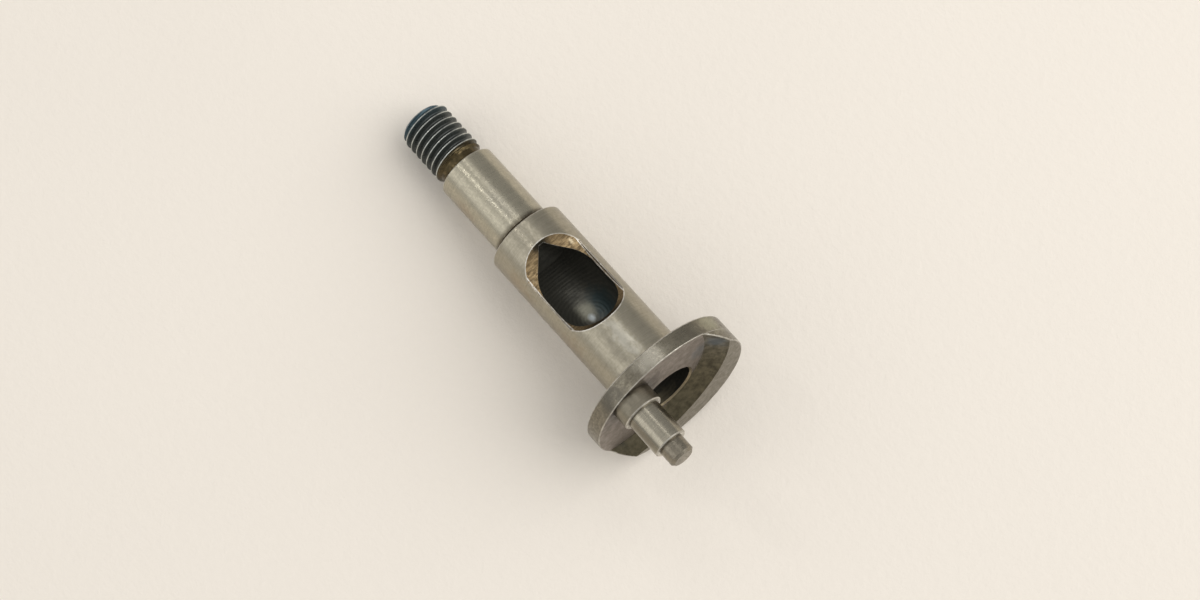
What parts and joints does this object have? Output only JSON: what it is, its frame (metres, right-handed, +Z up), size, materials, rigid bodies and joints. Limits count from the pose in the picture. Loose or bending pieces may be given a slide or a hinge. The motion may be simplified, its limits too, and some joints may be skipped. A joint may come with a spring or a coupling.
{
  "type": "model engine crankshaft",
  "caption": "Hollow one-piece crankshaft with an intake window, a round web with a crescent counterweight, a stepped crankpin and a threaded front end.",
  "frame": {"origin": "on the floor, under the middle of the part's length and under the shaft's axis", "axes": "+X runs from the thread towards the crankpin, along the floor below the shaft's axis, which rises by 9 degrees; +Z is up, through the intake window"},
  "size_m": [0.0508, 0.019, 0.0191],
  "materials": {
    "ground_steel": "hardened steel, ground bright on the journals and pin, turned on the web, black oxide on the thread"
  },
  "bodies": {
    "root": {"crankshaft": "ground_steel"}
  },
  "joints": []
}
